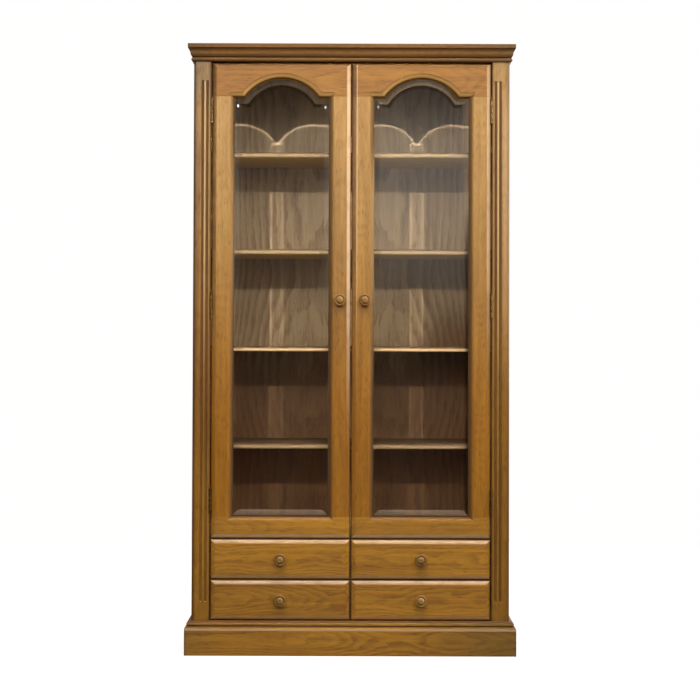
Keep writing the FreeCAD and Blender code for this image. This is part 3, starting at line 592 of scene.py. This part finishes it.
def lining_tones(tree, colour, across, height, rear):
    """The lining's face has painted shade in its lower half, browner and darker there; its rear is
    bare.
    """
    foot = tinted(tree, colour, (0.43, 0.28, 0.13, 1))
    # The painted shade reaches higher on the right
    shift = spread(tree, across, 0.14, 0.34, 0.0, 0.14)
    level = spread(tree, calc(tree, "SUBTRACT", height, shift), 0.8, 1.0)
    return blend(tree, largest(tree, level, rear), foot, colour)


def shelf_tones(tree, colour, name, up, top):
    """Painted light on a shelf's rounded front, most of all below, and on its underside; painted
    shade on its top.
    """
    underside = tinted(tree, colour, (1.65, 1.55, 0.8, 1))
    nose_light = (2.3, 2.2, 2.05, 1) if name == "shelf_2" else (1.15, 1.12, 1.05, 1)
    nose_light = tinted(tree, colour, nose_light)
    lower = blend(tree, spread(tree, up, -0.0079, -0.006), underside, nose_light)
    colour = tinted(tree, colour, (0.88, 0.88, 0.95, 1))
    colour = blend(tree, spread(tree, up, -0.002, 0.003), lower, colour)
    return tinted_where(tree, top, colour, (0.25, 0.17, 0.09, 1))


def wood(name, cut, seed, low, high):
    """A board's own material: same finish, its own cut of the grain."""
    kind, tone, figure, ring, pith = cut
    centre = (low + high) / 2
    half = (high - low) / 2
    material, tree = new_material(name + "_wood")
    place = object_place(tree)
    centred = vector_calc(tree, "SUBTRACT", place, tuple(centre))
    axes = axes_of(tree, centred)
    along, wide, through = BOARD_AXES[kind]
    across = axes[wide]
    rear = 0.0
    if name == "back_panel":
        # Its face has two leaves of veneer, matched at the middle, and its rear has one
        rear = calc(tree, "GREATER_THAN", axes[1], 0.0)
        matched = calc(tree, "SUBTRACT", calc(tree, "ABSOLUTE", across), LEAF_MIDDLE)
        across = between(tree, rear, matched, across)
    light, dark = OAK_TONES[tone]
    grain = node(tree, "ShaderNodeGroup", {
        "Board": joined(tree, axes[along], across, axes[through]),
        "Seed": seed,
        "Ring Width": ring,
        "Pith Depth": pith,
        "Figure": figure,
        "Fleck": 0.45 if tone == "lining" else 0.15,
        "Light": light,
        "Dark": dark,
    }, node_tree=oak_grain)
    colour = grain.outputs["Colour"]
    rough = calc(tree, "ADD", grain.outputs["Roughness"], DULLNESS[tone])
    height = axes_of(tree, place)[2]
    upper = spread(tree, height, *UPPER)

    # Tones of each kind of board, most of them painted light and shade
    if tone == "lining":
        colour = lining_tones(tree, colour, axes[0], height, rear)
        rough = calc(tree, "MULTIPLY_ADD", rear, 0.3, rough)
    if name.startswith("shelf"):
        top = spread(tree, axes[2], 0.0, 0.0075)
        colour = shelf_tones(tree, colour, name, axes[2], top)
        rough = calc(tree, "MULTIPLY_ADD", top, 0.2, rough)
    if tone == "oak":
        # Uprights get a painted sheen above, paler and greyer, and painted shade below, deeper in
        # colour
        sheen_and_shade = spread(tree, height, 0.7, 1.45)
        sheen_and_shade = blend(tree, sheen_and_shade, (0.86, 0.72, 0.25, 1), (0.95, 1.05, 1.25, 1))
        colour = tinted(tree, colour, sheen_and_shade)
    # Painted light falloff towards the ends of the long mouldings
    for side, start, tint in END_SHADING.get(name, ()):
        reach = spread(tree, times(tree, axes[0], side), start, 0.51)
        colour = tinted_where(tree, reach, colour, tint)

    # Painted light and shade along borders, edges and grooves
    darkened = 0.0
    if door_word(name) and not name.endswith(("knob", "beads")):
        colour, seam = border_tones(tree, colour, name, place, centre, half, upper)
        colour, edge = sight_tones(tree, colour, door_word(name), place, upper)
        darkened = largest(tree, seam, edge)
    elif name.endswith("drawer_front"):
        colour, darkened = border_tones(tree, colour, name, place, centre, half, upper)
    if name.endswith("pilaster"):
        colour = pilaster_tones(tree, colour, place, SIDES[name.split("_")[0]], upper)
    # Painted highlights along rounded edges
    if name in HIGHLIGHT_LINES:
        highlit = groove_mask(tree, place, HIGHLIGHT_LINES[name])
        colour = blend(tree, times(tree, highlit, 0.4), colour, HIGHLIGHT_PALE)
    # Painted shade in the grooves, beside the pilasters' inner edges and round the knobs
    painted_shade = None
    if name in GROOVES:
        painted_shade = groove_mask(tree, place, GROOVES[name])
    elif name.endswith("knob"):
        painted_shade = knob_mask(tree, centred)
    if name.endswith("pilaster"):
        painted_shade = times(tree, painted_shade, calc(tree, "MULTIPLY_ADD", upper, 0.4, 0.6))
    if painted_shade:
        colour = blend(tree, times(tree, painted_shade, 0.78), colour, SHADE_DARK)
        darkened = largest(tree, painted_shade, darkened)

    # Dust on top, and the lacquer over all
    dusty = node(tree, "ShaderNodeGroup", {
        "Place": place,
        "Amount": 0.35 if centre[2] > 1.8 else 0.08,
    }, node_tree=dust).outputs["Mask"]
    rough = calc(tree, "MULTIPLY_ADD", dusty, 0.6, rough)
    bump = node(tree, "ShaderNodeBump", {
        "Strength": 0.35,
        "Distance": 0.0006,
        "Height": grain.outputs["Height"],
    })
    lacquer = node(tree, "ShaderNodeBsdfPrincipled", {
        "Base Color": blend(tree, dusty, colour, (0.42, 0.38, 0.32, 1)),
        "Roughness": calc(tree, "MULTIPLY_ADD", darkened, 0.4, rough),
        "Normal": bump.outputs[0],
        "IOR": 1.12 if name.startswith("shelf") else 1.42,
    })
    node(tree, "ShaderNodeOutputMaterial", (lacquer.outputs[0],))
    return material


def brass_finish():
    """Aged brass: dull patches over a satin ground."""
    material, tree = new_material("aged_brass")
    place = object_place(tree)
    patches = spread(tree, noise(tree, place, 90.0, 4.0, 0.6), 0.4, 0.65)
    scuffs = drawn_noise(tree, place, (60.0, 60.0, 900.0))
    rough = calc(tree, "MULTIPLY_ADD", patches, 0.22, 0.26)
    bump = node(tree, "ShaderNodeBump", {"Strength": 0.2, "Distance": 0.0002, "Height": scuffs})
    metal = node(tree, "ShaderNodeBsdfPrincipled", {
        "Base Color": blend(tree, patches, (0.2, 0.12, 0.045, 1), (0.06, 0.035, 0.014, 1)),
        "Roughness": calc(tree, "MULTIPLY_ADD", scuffs, 0.12, rough),
        "Metallic": 1.0,
        "Normal": bump.outputs[0],
    })
    node(tree, "ShaderNodeOutputMaterial", (metal.outputs[0],))
    return material


def sight_edges(tree, place, side):
    """How far a point lies inside a door's arched sight edge, and which of its sides is next."""
    axes = axes_of(tree, place)
    across = calc(tree, "SUBTRACT", axes[0], DOOR_MIDDLE * SIDES[side])
    above = calc(tree, "SUBTRACT", axes[2], ARCH_CENTRE)
    flank = calc(tree, "SUBTRACT", SIGHT_HALF, calc(tree, "ABSOLUTE", across))
    foot = calc(tree, "SUBTRACT", axes[2], SIGHT_LOW)
    head = calc(tree, "SUBTRACT", SHOULDER, axes[2])
    square = chain(tree, "MINIMUM", flank, foot, head)
    spoke = length_of(tree, joined(tree, across, 0.0, above))
    inside = largest(tree, square, calc(tree, "SUBTRACT", ARCH_RADIUS, spoke))
    beside = fall(tree, calc(tree, "SUBTRACT", flank, inside), 0.0, 0.0008)
    below = fall(tree, calc(tree, "SUBTRACT", foot, inside), 0.0, 0.0008)
    right = times(tree, beside, calc(tree, "GREATER_THAN", across, 0.0))
    left = calc(tree, "SUBTRACT", beside, right)
    over = calc(tree, "SUBTRACT", 1.0, largest(tree, beside, below))
    return {"inside": inside, "left": left, "right": right, "below": below, "over": over}


def lamp_light(tree, sight):
    """How much of a lamp's light goes through: little at the rim, more beside the bevel."""
    rim = spread(tree, sight["inside"], 0.0195, 0.0225)
    line = times(tree, rim, fall(tree, sight["inside"], 0.0245, 0.0285))
    line = times(tree, line, calc(tree, "MULTIPLY_ADD", sight["over"], 0.9, 0.9))
    light = calc(tree, "MULTIPLY_ADD", rim, 0.92, line)
    light = calc(tree, "ADD", light, 0.04)
    return joined(tree, light, light, light)


def bevel_reflection(tree, side, sight, height, smear):
    """A painted reflection on the bevel, as a pale film at its foot and under the arch."""
    reflection_mix = times(tree, sight["below"], spread(tree, smear, 0.3, 0.7, 0.14, 0.24))
    arched = spread(tree, sight["inside"], 0.008, 0.02, 0.0, ARCH_REFLECTION[side])
    reflection_mix = calc(tree, "MULTIPLY_ADD", sight["over"], arched, reflection_mix)
    if side == "right":
        # The right door's bevel has the painted reflection at its upper right too
        right_reflection = times(tree, sight["right"], spread(tree, height, *SHADE_TO_REFLECTION, 0.0, 0.115))
        thinning = spread(tree, sight["inside"], 0.006, 0.024, 1.0, 0.5)
        reflection_mix = calc(tree, "MULTIPLY_ADD", right_reflection, thinning, reflection_mix)
    return times(tree, reflection_mix, fall(tree, sight["inside"], 0.0205, 0.0235))


def bevel_shade(tree, side, sight, height):
    """Painted shade on the glass: a dark line beside the arch's bevel, and low on the right door.
    """
    line = spread(tree, sight["inside"], 0.0215, 0.024, 0.0, 0.5)
    line = times(tree, line, fall(tree, sight["inside"], 0.026, 0.036), sight["over"])
    edge = 0.0
    if side == "right":
        edge = times(tree, sight["right"], fall(tree, height, *SHADE_TO_REFLECTION, 0.4))
        edge = times(tree, edge, fall(tree, sight["inside"], 0.008, 0.02))
    return largest(tree, line, edge)


def shaded_edge_band(tree, side, sight, height, smear):
    """A dark band of painted shade along the sight edge; painted light makes it paler on the left
    side.
    """
    edge_band = blend(tree, smear, (0.07, 0.036, 0.014, 1), (0.11, 0.06, 0.024, 1))
    lit = spread(tree, height, *UPPER, 0.05, EDGE_BAND_LIGHT[side])
    lit = times(tree, lit, spread(tree, height, 1.42, 1.64, 1.0, 0.2))
    edge_band = blend(tree, times(tree, sight["left"], lit), edge_band, (0.45, 0.28, 0.12, 1))
    return node(tree, "ShaderNodeBsdfPrincipled", {
        "Base Color": blend(tree, sight["over"], edge_band, (0.09, 0.037, 0.003, 1)),
        "Roughness": calc(tree, "MULTIPLY_ADD", smear, 0.3, 0.7),
        "IOR": 1.12,
    }).outputs[0]


def glass_finish(side):
    """Clear glass that lets the lamps through to the shelves, with a painted reflection, painted
    shade and painted glints.

    The bevel turns its light inwards: a dark rim and a bright line beside it."""
    material, tree = new_material(side + "_clear_glass")
    place = object_place(tree)
    axes = axes_of(tree, place)
    height = axes[2]
    sight = sight_edges(tree, place, side)
    smear = noise(tree, scaled(tree, place, (3.0, 3.0, 1.2)), 2.0, 4.0, 0.6)
    glass = node(tree, "ShaderNodeBsdfPrincipled", {
        "Base Color": (0.955, 0.975, 0.96, 1),
        "Roughness": spread(tree, smear, 0.45, 0.75, 0.0, 0.04),
        "IOR": 1.5,
        "Transmission Weight": 1.0,
    })
    grey = blend(tree, smear, (0.38, 0.27, 0.18, 1), (0.46, 0.33, 0.23, 1))
    reflection_paint = node(tree, "ShaderNodeBsdfPrincipled", {
        "Base Color": blend(tree, sight["over"], grey, (0.46, 0.29, 0.12, 1)),
        "Roughness": 0.6,
        "IOR": 1.2,
    })
    reflection_mix = bevel_reflection(tree, side, sight, height, smear)
    body = mix_shaders(tree, reflection_mix, glass.outputs[0], reflection_paint.outputs[0])
    shade = bevel_shade(tree, side, sight, height)
    body = mix_shaders(tree, shade, body, diffuse(tree, (0.012, 0.006, 0.003, 1)))
    # Painted glints: white spots at the corners of the bevel, where its facets meet
    for across, up, strength in CORNER_GLINTS[side]:
        beside = calc(tree, "DIVIDE", calc(tree, "SUBTRACT", axes[0], across), 0.6)
        off = length_of(tree, joined(tree, beside, 0.0, calc(tree, "SUBTRACT", height, up)))
        spot = fall(tree, off, 0.0035, 0.006, strength)
        body = mix_shaders(tree, spot, body, diffuse(tree, (0.9, 0.9, 0.88, 1)))
    rays = node(tree, "ShaderNodeLightPath").outputs
    clear = node(tree, "ShaderNodeBsdfTransparent", {"Color": lamp_light(tree, sight)})
    body = mix_shaders(tree, rays["Is Shadow Ray"], body, clear.outputs[0])
    ragged = calc(tree, "MULTIPLY_ADD", noise(tree, place, 60.0), 0.002, sight["inside"])
    edge_band = shaded_edge_band(tree, side, sight, height, smear)
    body = mix_shaders(tree, fall(tree, ragged, 0.0052, 0.0064), body, edge_band)
    node(tree, "ShaderNodeOutputMaterial", (body,))
    return material


def finish(name, material):
    """Gives a CAD piece its finish."""
    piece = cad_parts[name]
    if not piece.data.materials:
        piece.data.materials.append(material)
    for slot in piece.material_slots:
        slot.material = material


# Each wooden piece: grain direction, tone, figure, ring width and depth of the pith
BOARDS = {
    "left_side_panel": ("side", "oak", 0.3, 0.006, 0.12),
    "right_side_panel": ("side", "oak", 0.3, 0.006, 0.12),
    "left_pilaster": ("upright", "oak", 0.15, 0.005, 0.2),
    "right_pilaster": ("upright", "oak", 0.15, 0.005, 0.2),
    "back_panel": ("upright", "lining", 0.6, 0.013, 0.28),
    "top_panel": ("flat", "oak", 0.4, 0.004, 0.1),
    "bottom_board": ("flat", "pale", 0.3, 0.004, 0.1),
    "cupboard_floor": ("flat", "shelf", 0.4, 0.004, 0.1),
    "drawer_divider": ("deep", "pale", 0.3, 0.004, 0.1),
    "drawer_rails": ("level", "oak", 0.3, 0.004, 0.1),
    "head_rail": ("level", "oak", 0.3, 0.004, 0.1),
    "base_rail": ("level", "oak", 0.3, 0.004, 0.1),
    "plinth_front": ("level", "rich_oak", 0.5, 0.006, 0.075),
    "plinth_returns": ("deep", "rich_oak", 0.5, 0.0045, 0.08),
    "cornice_front": ("level", "dark_oak", 0.3, 0.003, 0.15),
    "cornice_returns": ("deep", "dark_oak", 0.3, 0.003, 0.15),
    "shelf_1": ("flat", "shelf", 0.4, 0.004, 0.1),
    "shelf_2": ("flat", "shelf", 0.4, 0.004, 0.1),
    "shelf_3": ("flat", "shelf", 0.4, 0.004, 0.1),
    "shelf_4": ("flat", "shelf", 0.4, 0.004, 0.1),
    "drawer_runners": ("deep", "pale", 0.2, 0.004, 0.1),
    "glue_blocks": ("upright", "pale", 0.2, 0.004, 0.1),
}
DOOR_BOARDS = {
    "hinge_stile": ("upright", "oak", 0.15, 0.005, 0.2),
    "meeting_stile": ("upright", "oak", 0.15, 0.005, 0.2),
    "top_rail": ("level", "head_oak", 0.2, 0.007, 0.09),
    "bottom_rail": ("level", "rich_oak", 0.15, 0.007, 0.09),
    "glazing_beads": ("upright", "oak", 0.3, 0.003, 0.2),
    "knob": ("deep", "knob_oak", 0.3, 0.003, 0.03),
}
DRAWER_BOARDS = {
    "front": ("level", "rich_oak", 0.5, 0.0055, 0.07),
    "box": ("deep", "pale", 0.2, 0.004, 0.1),
    "bottom": ("deep_flat", "pale", 0.3, 0.004, 0.1),
    "knob": ("deep", "knob_oak", 0.3, 0.003, 0.03),
}

boards = dict(BOARDS)
for side in SIDES:
    for part, cut in DOOR_BOARDS.items():
        boards[f"{side}_door_{part}"] = cut
    for row in ("lower", "upper"):
        for part, cut in DRAWER_BOARDS.items():
            boards[f"{row}_{side}_drawer_{part}"] = cut

for number, (name, cut) in enumerate(boards.items()):
    finish(name, wood(name, cut, 1.37 * number + 0.4, *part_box(name)))

brass = brass_finish()
for name in ("shelf_pegs", "frame_hinge_leaves", "hinge_pins", "door_catches"):
    finish(name, brass)
for side in SIDES:
    finish(f"{side}_door_hinge_leaves", brass)
    finish(f"{side}_door_strike", brass)
    finish(f"{side}_door_glass", glass_finish(side))


# Hinge screws and glazing pins, in metres

HINGE_HEIGHTS = (0.474, 1.079, 1.684)
# Places of a leaf's screws: forwards, and up from the middle of the hinge
SCREW_PLACES = ((-0.149, -0.026), (-0.1535, 0.0), (-0.149, 0.026))
FRAME_LEAF_FACE = 0.4348
DOOR_LEAF_FACE = 0.4342
BEAD_BACK = -0.1395
# Pins lie this far outside the sight edge, at these heights and this far apart at the foot
PIN_OUTSIDE = 0.0045
PIN_HEIGHTS = (0.47, 0.78, 1.09, 1.4, 1.69)
PIN_STEP = 0.1


def apply_modifier(piece, kind, **settings):
    bpy.context.view_layer.objects.active = piece
    made = piece.modifiers.new(kind.lower(), kind)
    for name, value in settings.items():
        setattr(made, name, value)
    bpy.ops.object.modifier_apply(modifier=made.name)


def round_head(sides, radius, depth, turn, place, bevel, steps):
    """A short cylinder with rounded rims."""
    bpy.ops.object.select_all(action="DESELECT")
    bpy.ops.mesh.primitive_cylinder_add(
        vertices=sides, radius=radius, depth=depth, rotation=turn, location=place
    )
    head = bpy.context.active_object
    bpy.ops.object.transform_apply(location=True, rotation=True, scale=True)
    apply_modifier(head, "BEVEL", width=bevel, segments=steps, limit_method="ANGLE")
    return head


def screw_head():
    """A slotted countersunk head that faces +X; the origin lies on the leaf it is sunk in."""
    head = round_head(
        sides=28,
        radius=0.0026,
        depth=0.0006,
        turn=(0, math.pi / 2, 0),
        place=(-0.00016, 0, 0),
        bevel=0.0001,
        steps=2,
    )
    bpy.ops.mesh.primitive_cube_add(size=1, location=(0.00052, 0, 0), scale=(0.001, 0.0008, 0.008))
    slot = bpy.context.active_object
    bpy.ops.object.transform_apply(location=True, rotation=True, scale=True)
    apply_modifier(head, "BOOLEAN", object=slot, operation="DIFFERENCE", solver="EXACT")
    bpy.data.objects.remove(slot)
    return head


def pin_head():
    """A small domed pin head that faces +Y."""
    return round_head(
        sides=16,
        radius=0.0011,
        depth=0.0005,
        turn=(math.pi / 2, 0, 0),
        place=(0, -0.00015, 0),
        bevel=0.00018,
        steps=3,
    )


def set_of(pattern, name, places, body):
    """Copies of one small piece, each with its own mesh, joined into one object."""
    bpy.ops.object.select_all(action="DESELECT")
    for number, (place, turn) in enumerate(places):
        copy = bpy.data.objects.new(f"{name}_{number}", pattern.data.copy())
        bpy.context.scene.collection.objects.link(copy)
        copy.location = place
        copy.rotation_euler = turn
        copy.select_set(True)
        bpy.context.view_layer.objects.active = copy
    bpy.ops.object.transform_apply(location=True, rotation=True, scale=True)
    bpy.ops.object.join()
    piece = bpy.context.active_object
    piece.name = name
    bpy.ops.object.shade_smooth_by_angle(angle=math.radians(35))
    piece.data.materials.append(brass)
    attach(piece, body)


def screws_on(x, facing):
    """Places and turns of the screws in one side's leaves; their slots point anywhere."""
    places = []
    for height in HINGE_HEIGHTS:
        for y, lift in SCREW_PLACES:
            slant = 0.7 * len(places) + (0.4 if x > 0 else 1.1)
            places.append(((x, y, height + lift), (slant, 0, 0 if facing > 0 else math.pi)))
    return places


def bead_pins(middle):
    """Places of the pins in the beads round one door's glass."""
    beside = SIGHT_HALF + PIN_OUTSIDE
    spots = [(middle + way * beside, up) for way in (-1, 1) for up in PIN_HEIGHTS]
    spots += [(middle + way * PIN_STEP, SIGHT_LOW - PIN_OUTSIDE) for way in (-1, 0, 1)]
    return [((x, BEAD_BACK, z), (0, 0, 0)) for x, z in spots]


screw = screw_head()
pin = pin_head()
frame_screws = []
for side, sign in SIDES.items():
    door = side + "_door"
    frame_screws += screws_on(FRAME_LEAF_FACE * sign, -sign)
    set_of(screw, door + "_hinge_screws", screws_on(DOOR_LEAF_FACE * sign, sign), door)
    set_of(pin, door + "_bead_pins", bead_pins(DOOR_MIDDLE * sign), door)
set_of(screw, "frame_hinge_screws", frame_screws, "carcass")
bpy.data.objects.remove(screw)
bpy.data.objects.remove(pin)


# Floor, lamps and camera

def looked_at(tree):
    """One where the camera looks, straight or through glass; none for light on the object."""
    rays = node(tree, "ShaderNodeLightPath").outputs
    turns = calc(tree, "ADD", rays["Diffuse Depth"], rays["Glossy Depth"])
    through = times(tree, rays["Is Transmission Ray"], calc(tree, "LESS_THAN", turns, 0.5))
    return largest(tree, rays["Is Camera Ray"], through)


def pale_floor():
    bpy.ops.object.select_all(action="DESELECT")
    bpy.ops.mesh.primitive_circle_add(
        vertices=96, radius=3.4, fill_type="NGON", location=(0, -0.6, -0.0005)
    )
    floor = bpy.context.active_object
    floor.name = "studio_floor"
    bpy.ops.object.transform_apply(location=True, rotation=True, scale=True)
    material, tree = new_material("studio_floor_paint")
    place = object_place(tree)
    colour = blend(tree, noise(tree, place, 3.0), (0.2, 0.2, 0.195, 1), (0.23, 0.23, 0.225, 1))
    far = length_of(tree, place)
    lift = spread(tree, far, 0.5, 1.6, 0.86, 0.99)
    white = node(tree, "ShaderNodeEmission", {"Color": (1, 1, 1, 1), "Strength": lift})
    both = node(tree, "ShaderNodeAddShader", (diffuse(tree, colour), white.outputs[0]))
    # Away from the object the floor is dark in reflections, as a studio's is
    dark = diffuse(tree, blend(tree, spread(tree, far, 0.9, 2.2), colour, (0.02, 0.02, 0.02, 1)))
    mix = mix_shaders(tree, looked_at(tree), dark, both.outputs[0])
    node(tree, "ShaderNodeOutputMaterial", (mix,))
    floor.data.materials.append(material)


def studio_air():
    """White where the camera or glass looks; brighter overhead than below in reflections."""
    world = bpy.data.worlds.new("studio_air")
    bpy.context.scene.world = world
    world.use_nodes = True
    tree = world.node_tree
    tree.nodes.clear()
    axes = axes_of(tree, node(tree, "ShaderNodeTexCoord").outputs["Generated"])
    plain = spread(tree, axes[2], -0.15, 0.35, 0.01, 0.1)
    # A lit wall far behind the camera, brighter to the right, is what the glass mirrors
    side = spread(tree, axes[0], -0.015, 0.02, 0.2, 1.0)
    wall = spread(tree, axes[2], 0.0, 0.09)
    wall = times(tree, wall, spread(tree, axes[2], 0.11, 0.16, 1.0, 0.3))
    sheen = calc(tree, "MULTIPLY_ADD", side, 0.6, 0.4)
    sheen = times(tree, spread(tree, axes[2], 0.16, 0.45, 0.02, 1.3), sheen)
    backdrop = spread(tree, axes[1], 0.1, 0.4)
    sheen = largest(tree, sheen, times(tree, wall, side), backdrop)
    shiny = node(tree, "ShaderNodeLightPath").outputs["Is Glossy Ray"]
    level = between(tree, shiny, plain, sheen)
    soft = node(tree, "ShaderNodeBackground", {"Color": (1.0, 0.96, 0.89, 1), "Strength": level})
    white = node(tree, "ShaderNodeBackground", {"Color": (1, 1, 0.995, 1), "Strength": 1.0})
    mix = mix_shaders(tree, looked_at(tree), soft.outputs[0], white.outputs[0])
    node(tree, "ShaderNodeOutputWorld", (mix,))


def lamp(name, place, aim, size, watts, spread_degrees=180):
    data = bpy.data.lights.new(name, "AREA")
    data.shape = "RECTANGLE"
    data.size = size[0]
    data.size_y = size[1]
    data.energy = watts
    data.color = (1.0, 0.975, 0.93)
    data.spread = math.radians(spread_degrees)
    made = bpy.data.objects.new(name, data)
    bpy.context.scene.collection.objects.link(made)
    made.location = place
    made.rotation_euler = (Vector(aim) - Vector(place)).to_track_quat("-Z", "Y").to_euler()


pale_floor()
studio_air()
for name, across in (("left_key", -1.54), ("right_key", 2.01)):
    lamp(name, (across, -5.2, 2.95), (0, 0, 1.45), (0.09, 0.09), 7.2, 52)
lamp("overhead_softbox", (0, -1.4, 3.5), (0, -0.6, 1.2), (3.4, 2.4), 130)
lamp("right_softbox", (2.6, -0.45, 1.7), (0, -0.17, 1.4), (0.8, 1.8), 45)
lamp("back_fill", (0.6, 3.2, 1.5), (0, 0.18, 1.0), (1.6, 1.6), 24, 70)

# The picture's width and height in pixels; the camera is shifted by whole pixels of it
PICTURE = 700

camera_data = bpy.data.cameras.new("camera")
camera_data.lens = 83.0
camera_data.sensor_width = 36.0
camera_data.shift_x = -1.0 / PICTURE
camera_data.shift_y = -38.0 / PICTURE
camera_data.clip_end = 60
camera = bpy.data.objects.new("camera", camera_data)
bpy.context.scene.collection.objects.link(camera)
camera.location = (0, -5.1615, 0.959)
camera.rotation_euler = (math.radians(91.14), math.radians(-0.18), 0)
bpy.context.scene.camera = camera

bpy.context.scene.view_settings.view_transform = "Standard"
